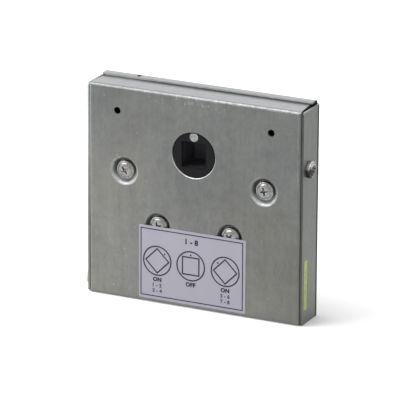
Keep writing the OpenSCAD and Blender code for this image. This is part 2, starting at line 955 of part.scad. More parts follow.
module lever() {
    half_w = lever_w / 2;
    strip_top = lever_under + lever_t;
    color([0.75, 0.76, 0.77])
        at_lever()
            union() {
                translate([-lug_r, switch_y - half_w, lever_under])
                    cube([lever_l + 2 * lug_r, lever_w, lever_t]);
                for (side = [-1, 1])
                    translate([0, side * (half_w - lever_t / 2), 0])
                        along_y(switch_y - lever_t / 2, switch_y + lever_t / 2)
                            union() {
                                lever_cheek([0, 0], strip_top, pin_r + run_gap);
                                lever_cheek([lever_l, roller_lift], lever_under,
                                    roller_pin_r + seat_gap);
                            }
            }
}

module lever_pin() {
    half_l = ear_in + ear_w;
    color([0.72, 0.73, 0.72])
        rod_y([-pin_offset, pin_h], pin_r, switch_y - half_l, switch_y + half_l);
}

module roller() {
    color([0.93, 0.92, 0.88])
        difference() {
            rod_y([roller_x, roller_z], roller_r, switch_y - roller_w / 2, switch_y + roller_w / 2);
            rod_y([roller_x, roller_z], roller_pin_r + run_gap, front_y, back_y);
        }
}

// Riveted pin: shank through the fork, a flat head on each side
module roller_pin() {
    half_l = lever_w / 2;
    pin_head_t = 0.35;
    color([0.72, 0.73, 0.72]) {
        rod_y([roller_x, roller_z], roller_pin_r, switch_y - half_l - pin_head_t,
            switch_y + half_l + pin_head_t);
        for (y = [switch_y - half_l - pin_head_t, switch_y + half_l])
            rod_y([roller_x, roller_z], roller_pin_r + 0.5, y, y + pin_head_t);
    }
}

// Three blades under the case: common, normally closed, normally open
module terminals() {
    tip_w = blade_w * 0.55;
    tip_l = blade_w * 0.2;
    end_x = switch_l / 2 - blade_inset;
    color([0.78, 0.68, 0.40])
        for (x = [-end_x, blade_shift, end_x])
            translate([x, 0, -switch_h])
                along_y(switch_y - blade_t / 2, switch_y + blade_t / 2)
                    difference() {
                        polygon([
                            [-blade_w / 2, 0],
                            [blade_w / 2, 0],
                            [blade_w / 2, tip_l - blade_l],
                            [tip_w / 2, -blade_l],
                            [-tip_w / 2, -blade_l],
                            [-blade_w / 2, tip_l - blade_l]
                        ]);
                        translate([0, -blade_l * 0.55])
                            circle(r = blade_w * 0.17);
                    }
}

module switch_screws() {
    color([0.72, 0.73, 0.72])
        for (place = case_holes)
            translate([place[0], switch_y + switch_t / 2, place[1]])
                rotate([-90, 0, 0])
                    pan_screw(small_head_r, small_head_h, small_screw_r,
                        switch_t + bracket_t - screw_end_gap);
}

front_cover();
back_housing();
bracket_screws();
cover_screw();
position_label();
inspection_strip();
lead_bushing();
rotor();
index_dot();
cam();
cam_retaining_ring();
thrust_washer();
rear_bush();
on_right() switch_bracket();  // right_switch_bracket
on_left() switch_bracket();  // left_switch_bracket
on_right() switch_case();  // right_switch_case
on_left() turned_round() switch_case();  // left_switch_case
on_right() case_cover();  // right_case_cover
on_left() turned_round() case_cover();  // left_case_cover
on_right() plunger();  // right_plunger
on_left() plunger();  // left_plunger
on_right() lever();  // right_lever
on_left() lever();  // left_lever
on_right() lever_pin();  // right_lever_pin
on_left() lever_pin();  // left_lever_pin
on_right() roller();  // right_roller
on_left() roller();  // left_roller
on_right() roller_pin();  // right_roller_pin
on_left() roller_pin();  // left_roller_pin
on_right() terminals();  // right_terminals
on_left() terminals();  // left_terminals
on_right() switch_screws();  // right_switch_screws
on_left() switch_screws();  // left_switch_screws
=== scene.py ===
"""Looks of the valve position switch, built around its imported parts.

The file is laid out as an add-on: the sizes and colours that a user would change are properties,
and each group of pieces has its own operator. Run as a script, it registers them, calls the
operators in order and hands the pieces to the frame. Lengths are in metres, and those of the
materials' patterns, and of the properties that say so, in millimetres.
"""
import math
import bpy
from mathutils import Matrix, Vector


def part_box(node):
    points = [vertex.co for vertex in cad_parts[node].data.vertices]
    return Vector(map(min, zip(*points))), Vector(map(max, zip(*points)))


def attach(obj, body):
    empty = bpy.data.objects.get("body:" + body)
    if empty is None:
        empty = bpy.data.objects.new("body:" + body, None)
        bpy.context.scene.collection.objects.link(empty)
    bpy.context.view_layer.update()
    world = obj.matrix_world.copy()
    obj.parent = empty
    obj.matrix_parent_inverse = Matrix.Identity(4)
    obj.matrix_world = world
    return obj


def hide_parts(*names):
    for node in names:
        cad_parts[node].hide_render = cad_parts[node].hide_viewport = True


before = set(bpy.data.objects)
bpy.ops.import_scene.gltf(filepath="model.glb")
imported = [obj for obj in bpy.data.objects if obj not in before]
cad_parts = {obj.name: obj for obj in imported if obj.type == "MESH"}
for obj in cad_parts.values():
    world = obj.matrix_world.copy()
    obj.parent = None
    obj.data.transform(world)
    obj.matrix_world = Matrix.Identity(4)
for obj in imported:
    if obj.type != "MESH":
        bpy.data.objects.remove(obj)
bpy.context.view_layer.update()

from types import SimpleNamespace

import bmesh
import bpy
from mathutils import Matrix, Vector

bl_info = {
    "name": "Valve position switch looks",
    "version": (1, 0, 0),
    "blender": (4, 5, 0),
    "location": "3D View > Sidebar > Position Switch",
    "description": "Sheet metal, screws, printed label and studio of a valve position switch",
    "category": "Object",
}

MM = 0.001
COVER_LOW, COVER_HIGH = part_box("front_cover")
HOUSING_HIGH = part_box("back_housing")[1]
LABEL_LOW, LABEL_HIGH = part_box("position_label")
STEM_AXIS = sum(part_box("rotor"), Vector()) / 2
ROTOR_STEP = math.pi / 4
INK_DEPTH = 0.02 * MM
# The middle of the printed row of icons
ROW = Vector((-0.0011, LABEL_LOW.y, 0.0213))
WHITE = (1.0, 1.0, 1.0)


# Shader maths

class Value:
    """A number, vector, colour or shader that a node gives; arithmetic on numbers adds nodes."""

    def __init__(self, nodes, socket):
        self.nodes = nodes
        self.socket = socket

    def _math(self, operation, *terms):
        made = self.nodes.node("Math", {"operation": operation})
        for socket, term in zip(made.inputs, terms):
            self.nodes.feed(socket, term)
        return Value(self.nodes, made.outputs[0])

    def __add__(self, other):
        return self._math("ADD", self, other)

    def __radd__(self, other):
        return self._math("ADD", other, self)

    def __sub__(self, other):
        return self._math("SUBTRACT", self, other)

    def __rsub__(self, other):
        return self._math("SUBTRACT", other, self)

    def __mul__(self, other):
        return self._math("MULTIPLY", self, other)

    def __rmul__(self, other):
        return self._math("MULTIPLY", other, self)

    def __truediv__(self, other):
        return self._math("DIVIDE", self, other)

    def __neg__(self):
        return 0.0 - self

    def __gt__(self, other):
        return self._math("GREATER_THAN", self, other)

    def size(self):
        return self._math("ABSOLUTE", self)

    def most(self, other):
        return self._math("MAXIMUM", self, other)

    def root(self):
        return self._math("SQRT", self)

    def ramp(self, zero, one):
        """0 at the first value and 1 at the second, with a smooth change between them."""
        smooth = {"interpolation_type": "SMOOTHSTEP"}
        return self.nodes.value("MapRange", smooth, Value=self, From_Min=zero, From_Max=one)


class ShaderNodes:
    """The nodes of a material or of the world, while they are made."""

    def __init__(self, tree):
        self.tree = tree

    def feed(self, socket, value):
        """Links a value to a socket, or sets the socket to a number or colour."""
        if isinstance(value, Value):
            self.tree.links.new(value.socket, socket)
        elif socket.type == "RGBA":
            socket.default_value = (*value, 1.0)
        else:
            socket.default_value = value

    def node(self, kind, settings=None, **sockets):
        """A new node; its sockets are named by identifier, or by name with _ for a space."""
        made = self.tree.nodes.new("ShaderNode" + kind)
        for key, value in (settings or {}).items():
            setattr(made, key, value)
        for key, value in sockets.items():
            names = {key, key.replace("_", " ")}
            found = next(s for s in made.inputs if s.enabled and names & {s.identifier, s.name})
            self.feed(found, value)
        return made

    def value(self, kind, settings=None, output=0, **sockets):
        """One output of a new node."""
        return Value(self, self.node(kind, settings, **sockets).outputs[output])

    def mixed_shaders(self, share, first, second):
        return self.value("MixShader", Fac=share, Shader=first, Shader_001=second)

    def seen_rays(self):
        """1 for camera, glossy and transmission rays, and 0 for the rest."""
        path = self.node("LightPath")
        kinds = ("Is Camera Ray", "Is Glossy Ray", "Is Transmission Ray")
        camera, glossy, through = [Value(self, path.outputs[kind]) for kind in kinds]
        return camera.most(glossy).most(through)


class Paint(ShaderNodes):
    """A material while it is made; its keywords are the shader inputs that are the same all over."""

    def __init__(self, name, **constants):
        self.material = bpy.data.materials.new(name)
        self.material.use_nodes = True
        super().__init__(self.material.node_tree)
        self.shader = self.tree.nodes["Principled BSDF"]
        self.wear(**constants)

    def wear(self, **sockets):
        """Feeds inputs of the surface shader."""
        for key, value in sockets.items():
            self.feed(self.shader.inputs[key.replace("_", " ")], value)

    def finished(self, colour, shade, rough, relief, depth, **others):
        """The material in colour times shade; a relief from 0 to 1 is depth millimetres deep."""
        shaded = self.value("VectorMath", {"operation": "SCALE"}, Vector=colour, Scale=shade)
        bumps = self.value("Bump", Distance=depth * MM, Height=relief)
        self.wear(Base_Color=shaded, Roughness=rough, Normal=bumps, **others)
        return self.material

    def place(self):
        """Object coordinates in millimetres."""
        return self.stretched(self.value("TexCoord", output="Object"), (1 / MM,) * 3)

    def facing(self, normal="True Normal"):
        """How far the surface faces right, rearward and up."""
        return self.parts(self.value("NewGeometry", output=normal))

    def parts(self, vector):
        return [Value(self, socket) for socket in self.node("SeparateXYZ", Vector=vector).outputs]

    def joined(self, x, y, z=0.0):
        return self.value("CombineXYZ", X=x, Y=y, Z=z)

    def stretched(self, vector, factors):
        made = self.node("VectorMath", {"operation": "MULTIPLY"}, Vector=vector)
        made.inputs[1].default_value = factors
        return Value(self, made.outputs[0])

    def noise(self, vector, scale=1.0, detail=2.0, rough=0.5):
        return self.value(
            "TexNoise", output="Fac", Vector=vector, Scale=scale, Detail=detail, Roughness=rough
        )

    def patchy(self, vector, scale, low, high, detail=2.0):
        """Soft-edged patches: 1 where noise is above high and 0 where it is below low."""
        return self.noise(vector, scale, detail).ramp(low, high)

    def cells(self, vector, scale=1.0, output="Distance"):
        return self.value("TexVoronoi", output=output, Vector=vector, Scale=scale)

    def mixed(self, share, first, second):
        settings = {"data_type": "RGBA"}
        made = self.node("Mix", settings, Factor_Float=share, A_Color=first, B_Color=second)
        return Value(self, next(s for s in made.outputs if s.identifier == "Result_Color"))


def distance(across, up):
    return (across * across + up * up).root()


# Sheet metal

class Sheet:
    """Where a point of the folded sheet lies, in millimetres, and how far it faces each way."""

    def __init__(self, paint):
        self.paint = paint
        self.place = paint.place()
        self.x, self.y, self.z = paint.parts(self.place)
        self.rightward, self.rearward, self.upward = paint.facing()
        on_wall = self.rightward.size() > 0.5
        on_top = self.upward.size() > 0.5
        self.across = self.x * (1.0 - on_wall) + self.y * on_wall
        self.along = self.z * (1.0 - on_top) + self.y * on_top

    def rolled(self, wide, long, seed=0.0, detail=2.0, rough=0.5):
        """Noise drawn out by the rolling, carried round the folds; wide and long are its scales."""
        vector = self.paint.joined(self.across * wide, self.along * long, seed)
        return self.paint.noise(vector, detail=detail, rough=rough)


def sheet_metal(name, look, add_wear_and_light):
    """Zinc-coated steel sheet; the last argument puts on it what the cover or the housing has gone
    through, and the light and shade painted on it.
    """
    paint = Paint(name, IOR=1.5)
    sheet = Sheet(paint)
    zinc = rolled_zinc(sheet, look)
    add_wear_and_light(sheet, zinc, look)
    colour = zinc_colour(sheet, zinc, tuple(look.colour))
    return paint.finished(colour, zinc.shade, zinc.rough, zinc.relief, 0.03, Metallic=zinc.metal)


def rolled_zinc(sheet, look):
    """The plain sheet: what its marks give in shade, roughness, metallic share, relief and warmth."""
    paint, place = sheet.paint, sheet.place
    streaks = sheet.rolled(wide=1.0, long=0.05, detail=3.0, rough=0.6)
    fine = sheet.rolled(wide=3.4, long=0.30, seed=7.0, detail=3.0, rough=0.6)
    bands = sheet.rolled(wide=0.28, long=0.012, seed=4.0)
    clouds = paint.noise(paint.stretched(place, (0.075, 0.075, 0.050)), detail=5.0, rough=0.62)
    blotches = paint.noise(paint.stretched(place, (0.32, 0.32, 0.20)), detail=4.0, rough=0.65)
    patches = paint.noise(place, scale=0.022)
    grain = paint.parts(paint.cells(place, scale=0.9, output="Color"))[0]
    scratches = sheet.rolled(wide=9.0, long=0.30, seed=3.0, detail=1.0).ramp(0.66, 0.74)
    scratches = scratches * paint.patchy(place, 0.10, 0.50, 0.60)
    strays = sheet.rolled(wide=0.22, long=5.0, seed=11.0, detail=1.0).ramp(0.70, 0.77)
    strays = strays * paint.patchy(place, 0.07, 0.52, 0.62)
    pits = paint.cells(place, scale=0.30).ramp(0.16, 0.06)
    pits = pits * paint.patchy(place, 0.06, 0.46, 0.56)
    specks = paint.cells(paint.stretched(place, (0.17, 0.17, 0.13))).ramp(0.085, 0.035)
    specks = specks * paint.patchy(place, 0.05, 0.44, 0.56, detail=1.0)
    shade = (
        1.0
        + (streaks - 0.5) * look.streaks
        + (clouds - 0.5) * look.clouds
        + (patches - 0.5) * look.patches
        + (bands - 0.5) * look.bands
        + (blotches - 0.5) * look.blotches
        + (grain - 0.5) * look.grain
        + (fine - 0.5) * look.fine
        + scratches * look.scratches
        + strays * look.strays
        + specks * look.specks
        - pits * look.pits
    )
    clouded, streaked = clouds - 0.5, streaks - 0.5
    return SimpleNamespace(
        shade=shade,
        rough=look.roughness + clouded * 0.16 + streaked * 0.10 - scratches * 0.08,
        metal=look.metallic + clouded * 0.10,
        relief=streaks * 0.30 + fine * 0.30 + clouds * 0.9 + blotches * 0.45 + grain * 0.05,
        warmth=patches * 0.6 + blotches * 0.4,
    )


def zinc_colour(sheet, zinc, colour):
    """Warmer low on the sheet and in patches, bluish on top and greenish on the right wall."""
    def tinted(red, green, blue):
        return (colour[0] * red, colour[1] * green, colour[2] * blue)

    mixed = sheet.paint.mixed
    warmth = zinc.warmth - sheet.z * 0.0025 + 0.12 - sheet.upward.size() * 0.4
    tint = mixed(warmth.ramp(0.35, 0.65), tinted(0.985, 1.0, 1.02), tinted(1.02, 1.0, 0.95))
    tint = mixed(sheet.upward.ramp(0.5, 0.9), tint, tinted(1.01, 1.0, 1.075))
    return mixed(sheet.rightward.ramp(0.5, 0.9), tint, tinted(0.975, 1.01, 0.965))


def cover_wear_and_light(sheet, zinc, look):
    """Marks of handling and a rubbed top fold on the cover, with painted light: lighter to the lower
    left, and painted highlights round the dimples, on the stem hole's lower edge and on the left and
    right bends.
    """
    x, z = sheet.x, sheet.z
    scuffs = handling_scuffs(sheet)
    # Painted light: the cover grows lighter towards its lower left
    lower_left_light = (x * -0.007 - z * 0.009 + 0.72).ramp(0.0, 1.0)
    zinc.shade = (zinc.shade + scuffs * 0.75) * (0.93 + lower_left_light * 0.34)
    zinc.rough = zinc.rough + scuffs * 0.10
    # Painted highlight round the dimples, where the metallic share is lowered as well
    rings = dimple_highlight_rings(sheet, look)
    zinc.shade = zinc.shade * (1.0 + rings * look.burnish)
    zinc.metal = zinc.metal * (1.0 - rings * 0.55)
    # The left edge gets painted light where its bend starts and where it turns into the wall; there its
    # metallic share is lowered as well
    left_bend_light = (-sheet.rightward).ramp(0.10, 0.45) * z.ramp(25.0, 75.0)
    left_turn_light = (-sheet.rightward).ramp(0.40, 0.80) * (0.6 + z.ramp(75.0, 92.0) * 1.3)
    zinc.metal = zinc.metal * (1.0 - left_bend_light.most(left_turn_light * 0.5) * 0.4)
    zinc.shade = zinc.shade * (
        1.0
        + top_fold(sheet) * 0.45
        + stem_hole_highlight(sheet, look) * 2.2
        + left_bend_light * 0.3
        + left_turn_light
        + right_bend_highlight(sheet) * 0.35
    )


def handling_scuffs(sheet):
    """Short light strokes in a low, wide patch under the middle of the top fold."""
    paint, x, z = sheet.paint, sheet.x, sheet.z
    middle_x, middle_z = -4.0, COVER_HIGH.z / MM - 3.4
    half_width, half_height = 30.0, 3.6
    strokes = paint.cells(paint.joined(x * 0.85, z * 0.33, 3.0)).ramp(0.36, 0.16)
    aside, above = ((x - middle_x) / half_width).size(), ((z - middle_z) / half_height).size()
    near = aside.most(above).ramp(1.1, 0.2)
    return strokes * near * paint.patchy(sheet.place, 0.30, 0.44, 0.58)


def dimple_highlight_rings(sheet, look):
    """Painted highlight rings round the bracket screws' dimples, strongest at their lower side."""
    rings = 0.0
    for low, high in solid_boxes("bracket_screws"):
        middle = (low + high) / (2 * MM)
        reach = distance(sheet.x - middle.x, sheet.z - middle.z)
        below = ((middle.z - sheet.z) / reach).ramp(0.1, 0.8)
        ring = reach.ramp(look.dimple_reach, look.dimple_reach - 1.5) * (0.35 + below * 0.9)
        rings = ring.most(rings)
    return rings


def top_fold(sheet):
    """The bend from the face to the top, rubbed in short stretches and more to the right."""
    upward = sheet.upward
    bend = upward.ramp(0.10, 0.30) * (1.0 - upward.ramp(0.85, 0.97))
    stretches = sheet.paint.noise(
        sheet.paint.joined(sheet.x * 0.5, sheet.z * 0.5), detail=3.0, rough=0.7
    )
    return bend * stretches.ramp(0.42, 0.60) * (0.35 + sheet.x.ramp(-25.0, 20.0) * 0.65)


def stem_hole_highlight(sheet, look):
    """Painted highlight on the lower half of the stem hole's edge."""
    middle_x, middle_z = STEM_AXIS.x / MM, STEM_AXIS.z / MM
    reach = distance(sheet.x - middle_x, sheet.z - middle_z)
    edge = reach.ramp(look.hole_edge + 0.15, look.hole_edge - 0.05)
    return edge * (middle_z - sheet.z).ramp(-2.0, 6.0)


def right_bend_highlight(sheet):
    """Painted highlight at the start of the bend from the face to the right wall, in patches of its
    upper half.
    """
    bend = sheet.rightward.ramp(0.03, 0.15) * sheet.rightward.ramp(0.50, 0.35)
    patches = sheet.paint.patchy(sheet.place, 0.10, 0.40, 0.62, detail=3.0)
    return bend * patches * sheet.z.ramp(40.0, 75.0)


def housing_light_and_shade(sheet, zinc, look):
    """Painted shade on the right wall's cut edge and along its rear bend, painted light on the left
    wall's cut edge and on the lip's front edge, a lower metallic share on the last three, and a right
    wall lighter towards the bottom.
    """
    x, y, z = sheet.x, sheet.y, sheet.z
    past_cover = COVER_HIGH.x / MM + 0.05
    lip_top = HOUSING_HIGH.z / MM
    rear = HOUSING_HIGH.y / MM
    cut = -sheet.rearward > 0.5
    # Painted shade on the right wall's cut edge
    right_cut_shade = (x > past_cover) * cut
    # Painted light on the left wall's cut edge, stronger higher up
    left_cut_light = (-x > past_cover) * cut
    # Painted light on the lip's front edge
    lip_edge_light = (z > lip_top - 1.5) * cut
    # The lip's front edge gets painted light, except its lower part to the right, where the seam is
    # left in shade
    seam_in_shade = (1.0 - (z > lip_top - 0.7)) * x.ramp(-40.0, -20.0)
    # Painted shade along the right wall's rear bend, which is also rougher and less metallic there
    rear_bend_shade = y.ramp(rear - 3.35, rear - 2.85) * sheet.rightward.ramp(0.2, 0.5)
    zinc.rough = zinc.rough + rear_bend_shade * 0.5
    zinc.metal = zinc.metal * (1.0 - lip_edge_light.most(left_cut_light).most(rear_bend_shade) * 0.85)
    # The right wall is lighter towards the bottom
    rubbed = sheet.rightward.ramp(0.5, 0.9) * z.ramp(60.0, 5.0)
    # Painted shade on the right wall's cut edge and along its rear bend
    zinc.shade = zinc.shade * (0.91 - right_cut_shade * look.cut_edge - rear_bend_shade * 0.65) * (1.0 + rubbed * 0.22)
    # Painted light on the lip's front edge and on the left wall's cut edge
    zinc.shade = zinc.shade * (
        1.0 + lip_edge_light * (1.0 - seam_in_shade * 0.9) * 2.6 + left_cut_light * (0.35 + z.ramp(35.0, 85.0) * 1.25)
    )


# Other materials

def plated_steel(name, colour, roughness, depth=0.012, marks=0.6, light_and_shade=0.0):
    """Bright steel with fine marks; the last argument paints light on its upward-facing parts and shade
    on its sides and underside.
    """
    paint = Paint(name, Metallic=1.0)
    place = paint.place()
    marked = paint.noise(place, scale=1.3, detail=4.0, rough=0.65)
    stained = paint.noise(place, scale=0.35, detail=3.0)
    shade = 1.0 + (marked - 0.5) * marks + (stained - 0.5) * 0.35
    if light_and_shade:
        # Painted light on the upward-facing parts, painted shade on the sides and underside
        upward = paint.facing("Normal")[2]
        shade = shade * (1.0 + upward.ramp(0.10, 0.5) * light_and_shade)
        shade = shade * (1.0 - upward.ramp(0.38, -0.05) * 0.82)
    return paint.finished(colour, shade, roughness + (stained - 0.5) * 0.22, marked, depth)


def moulded_plastic(name, colour, roughness, grain=0.02, coat=0.0, shine=0.5, stain=0.22, hollow_light=0.0):
    """Plastic with eggshell grain, flow marks and rubbed places; light is painted into a deep hollow,
    more the deeper it lies.
    """
    paint = Paint(name, Coat_Weight=coat, Coat_Roughness=0.25, Specular_IOR_Level=shine)
    place = paint.place()
    eggshell = paint.noise(place, scale=2.6)
    flow = paint.noise(paint.stretched(place, (0.12, 0.3, 0.12)), detail=3.0)
    blots = paint.patchy(place, 0.55, 0.40, 0.62)
    shade = 1.0 + (flow - 0.5) * stain + (eggshell - 0.5) * (stain * 0.4) - blots * (stain * 0.3)
    if hollow_light:
        # Painted light in the deep hollow, more the deeper it lies
        depth = paint.parts(place)[1] - COVER_LOW.y / MM
        painted_hollow_light = depth.ramp(0.5, 3.0) * 0.35 + depth.ramp(3.0, 13.0) * 0.65
        shade = shade * (1.0 + painted_hollow_light * hollow_light)
    rough = roughness + (flow - 0.5) * 0.18 + (eggshell - 0.5) * 0.08
    return paint.finished(colour, shade, rough, eggshell, grain)


def label_film(name, colour):
    """Matte printed film with a faint paper grain and a few rubbed spots."""
    paint = Paint(name, Specular_IOR_Level=0.35)
    place = paint.place()
    grain = paint.noise(place, scale=3.0)
    soft = paint.noise(place, scale=0.06)
    rubbed = paint.patchy(place, 0.5, 0.60, 0.72, detail=3.0)
    shade = 1.0 + (soft - 0.5) * 0.07 + (grain - 0.5) * 0.03 - rubbed * 0.02
    rough = 0.48 + (soft - 0.5) * 0.2 + rubbed * 0.08
    return paint.finished(colour, shade, rough, soft * 0.8 + grain * 0.2, 0.02)


def print_ink(name, colour):
    """Ink that is a little thinner in places."""
    paint = Paint(name, Specular_IOR_Level=0.3)
    thin = paint.noise(paint.place(), scale=1.6, detail=3.0)
    return paint.finished(colour, 0.9 + thin * 0.35, 0.42 + thin * 0.15, thin, 0.004)


def strip_film(name, colour):
    """Fluorescent film with creases and specks of dirt."""
    paint = Paint(name, Coat_Weight=0.2, Coat_Roughness=0.3)
    place = paint.place()
    _, y, z = paint.parts(place)
    crease = paint.noise(paint.joined(y * 0.6, z * 0.25))
    specks = paint.cells(paint.joined(y * 0.8, z * 0.55, 2.0)).ramp(0.30, 0.12)
    dirt = specks * paint.patchy(place, 0.4, 0.40, 0.52)
    shade = 1.0 + (crease - 0.5) * 0.70 - dirt * 0.75
    return paint.finished(colour, shade, 0.40 + (crease - 0.5) * 0.3, crease, 0.05)


def dress(node, material):
    """Puts a material on every slot of a CAD node."""
    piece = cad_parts[node]
    for slot in piece.material_slots:
        slot.material = material
    if not piece.material_slots:
        piece.data.materials.append(material)


# Geometry

def new_object(name, mesh):
    made = bpy.data.objects.new(name, mesh)
    bpy.context.scene.collection.objects.link(made)
    return made


def discard(*objects):
    for unwanted in objects:
        bpy.data.objects.remove(unwanted)


def mesh_of(work, name):
    """Ends work on a bmesh and keeps it as a new mesh."""
    mesh = bpy.data.meshes.new(name)
    work.to_mesh(mesh)
    work.free()
    return mesh


def plain_copy(source, name):
    """The evaluated object as a plain mesh object of its own."""
    graph = bpy.context.evaluated_depsgraph_get()
    graph.update()
    mesh = bpy.data.meshes.new_from_object(source.evaluated_get(graph), depsgraph=graph)
    mesh.name = name
    return new_object(name, mesh)


def joined(objects, name):
    """One mesh object in place of several."""
    work = bmesh.new()
    for part in objects:
        work.from_mesh(part.data)
    discard(*objects)
    return new_object(name, mesh_of(work, name))


def revolved(profile):
    """Closed mesh from a profile of radius and height; its first and last radius are 0."""
    segments = 64
    turns = [2 * math.pi * i / segments for i in range(segments)]
    work = bmesh.new()
    rings = []
    for radius, height in profile:
        if radius == 0:
            rings.append([work.verts.new((0, 0, height))])
            continue
        corners = [(radius * math.cos(a), radius * math.sin(a), height) for a in turns]
        rings.append([work.verts.new(corner) for corner in corners])
    for lower, upper in zip(rings, rings[1:]):
        for i in range(segments):
            j = i + 1
            corners = []
            for ring, at in ((lower, i), (lower, j), (upper, j), (upper, i)):
                vert = ring[at % len(ring)]
                if vert not in corners:
                    corners.append(vert)
            work.faces.new(corners)
    bmesh.ops.recalc_face_normals(work, faces=work.faces)
    return mesh_of(work, "revolved")


def solid_boxes(node):
    """Lowest and highest corner of each loose solid in a CAD node, sorted by x and then by z."""
    work = bmesh.new()
    work.from_mesh(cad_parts[node].data)
    bmesh.ops.remove_doubles(work, verts=work.verts, dist=1e-6)
    found = []
    left = set(work.verts)
    while left:
        island = set()
        queue = [left.pop()]
        while queue:
            vert = queue.pop()
            island.add(vert)
            for edge in vert.link_edges:
                other = edge.other_vert(vert)
                if other in left:
                    left.remove(other)
                    queue.append(other)
        low = Vector(min(v.co[i] for v in island) for i in range(3))
        high = Vector(max(v.co[i] for v in island) for i in range(3))
        found.append((low, high))
    work.free()
    return sorted(found, key=lambda box: (round(box[0].x, 4), round(box[0].z, 4)))


class Tree:
    """A Geometry Nodes tree while it is built, with named inputs."""

    def __init__(self, name):
        self.tree = bpy.data.node_groups.new(name, "GeometryNodeTree")
        for way in ("INPUT", "OUTPUT"):
            self.tree.interface.new_socket("Geometry", in_out=way, socket_type="NodeSocketGeometry")
        self.start = self.tree.nodes.new("NodeGroupInput")
        self.end = self.tree.nodes.new("NodeGroupOutput")
        self.names = {}

    def input(self, name, kind, value=None):
        made = self.tree.interface.new_socket(name, in_out="INPUT", socket_type="NodeSocket" + kind)
        if value is not None:
            made.default_value = value
        self.names[name] = made.identifier
        return self.start.outputs[name]

    def feed(self, socket, value):
        """Links a socket's value to another socket, or sets it."""
        if isinstance(value, bpy.types.NodeSocket):
            self.tree.links.new(value, socket)
        else:
            socket.default_value = value

    def node(self, kind, settings=None, family="GeometryNode", output=0, **sockets):
        """One output of a new node; a list feeds a socket that takes several links."""
        made = self.tree.nodes.new(family + kind)
        for key, value in (settings or {}).items():
            setattr(made, key, value)
        for key, value in sockets.items():
            name = key.replace("_", " ")
            found = next(s for s in made.inputs if s.name == name and s.enabled)
            for item in value if isinstance(value, list) else [value]:
                self.feed(found, item)
        return made.outputs[output]

    def vector(self, **parts):
        """A vector from its X, Y and Z; the ones not named are 0."""
        return self.node("CombineXYZ", family="ShaderNode", **parts)

    def maths(self, operation, first, second):
        made = self.tree.nodes.new("ShaderNodeMath")
        made.operation = operation
        for socket, value in zip(made.inputs, (first, second)):
            self.feed(socket, value)
        return made.outputs[0]

    def finish(self, geometry, material):
        solid = self.node("RealizeInstances", Geometry=geometry)
        dressed = self.node("SetMaterial", Geometry=solid, Material=material)
        self.tree.links.new(dressed, self.end.inputs[0])

    def run(self, base, name, values):
        """The tree's result on base, as a plain mesh object called name."""
        modifier = base.modifiers.new("build", "NODES")
        modifier.node_group = self.tree
        for key, value in values.items():
            modifier[self.names[key]] = value
        made = plain_copy(base, name)
        base.modifiers.remove(modifier)
        return made


# Screws

def screw_head(radius, height, look):
    """Pan head with a raised crown and a cross recess; its underside is at height 0."""
    crown = look.crown_share
    # Shares of the head's radius and height, from the crown's middle to the underside
    shares = [
        (0, 1.0), (crown * 0.55, 0.99), (crown * 0.82, 0.95), (crown * 0.94, 0.89), (crown, 0.80),
        (crown + 0.03, 0.76), (crown + 0.07, 0.79), (crown + 0.12, 0.77), (0.95, 0.68), (0.985, 0.54),
        (1.0, 0.36), (1.0, 0.06), (0.975, 0.0), (0, 0.0),
    ]
    profile = [(across * radius, up * height) for across, up in shares]
    head = new_object("head", revolved(profile))
    cutter = new_object("recess", cross_cutter(radius, height, look))
    cut = head.modifiers.new("recess", "BOOLEAN")
    cut.operation = "DIFFERENCE"
    cut.solver = "EXACT"
    cut.use_self = True
    cut.object = cutter
    done = plain_copy(head, "screw_head")
    discard(head, cutter)
    done.data.shade_smooth()
    done.data.set_sharp_from_angle(angle=math.radians(32.0))
    return done


def cross_cutter(radius, height, look):
    """Four tapered wings and a cone, as the driver's tip leaves them."""
    reach = radius * look.recess_share
    wing = reach * 0.17
    depth = height * look.recess_depth
    # Height and scale of the wings' wide end, above the head, and of their narrow end
    ends = ((height * 1.2, 1.12), (height - depth, 0.45))
    work = bmesh.new()
    for turn in (0, math.pi / 2):
        corners = []
        for z, scale in ends:
            for x, y in ((-1, -1), (1, -1), (1, 1), (-1, 1)):
                point = Vector((x * reach * scale, y * wing * (0.6 + 0.4 * scale), z))
                corners.append(work.verts.new(Matrix.Rotation(turn, 3, "Z") @ point))
        low, high = corners[4:], corners[:4]
        work.faces.new(low)
        work.faces.new(high)
        for i in range(4):
            j = (i + 1) % 4
            work.faces.new((low[i], low[j], high[j], high[i]))
    bmesh.ops.create_cone(
        work, cap_ends=True, segments=24, radius1=reach * 0.08, radius2=reach * 0.50, depth=depth * 1.5,
        matrix=Matrix.Translation((0, 0, height - depth * 0.35)),
    )
    bmesh.ops.recalc_face_normals(work, faces=work.faces)
    return mesh_of(work, "recess")


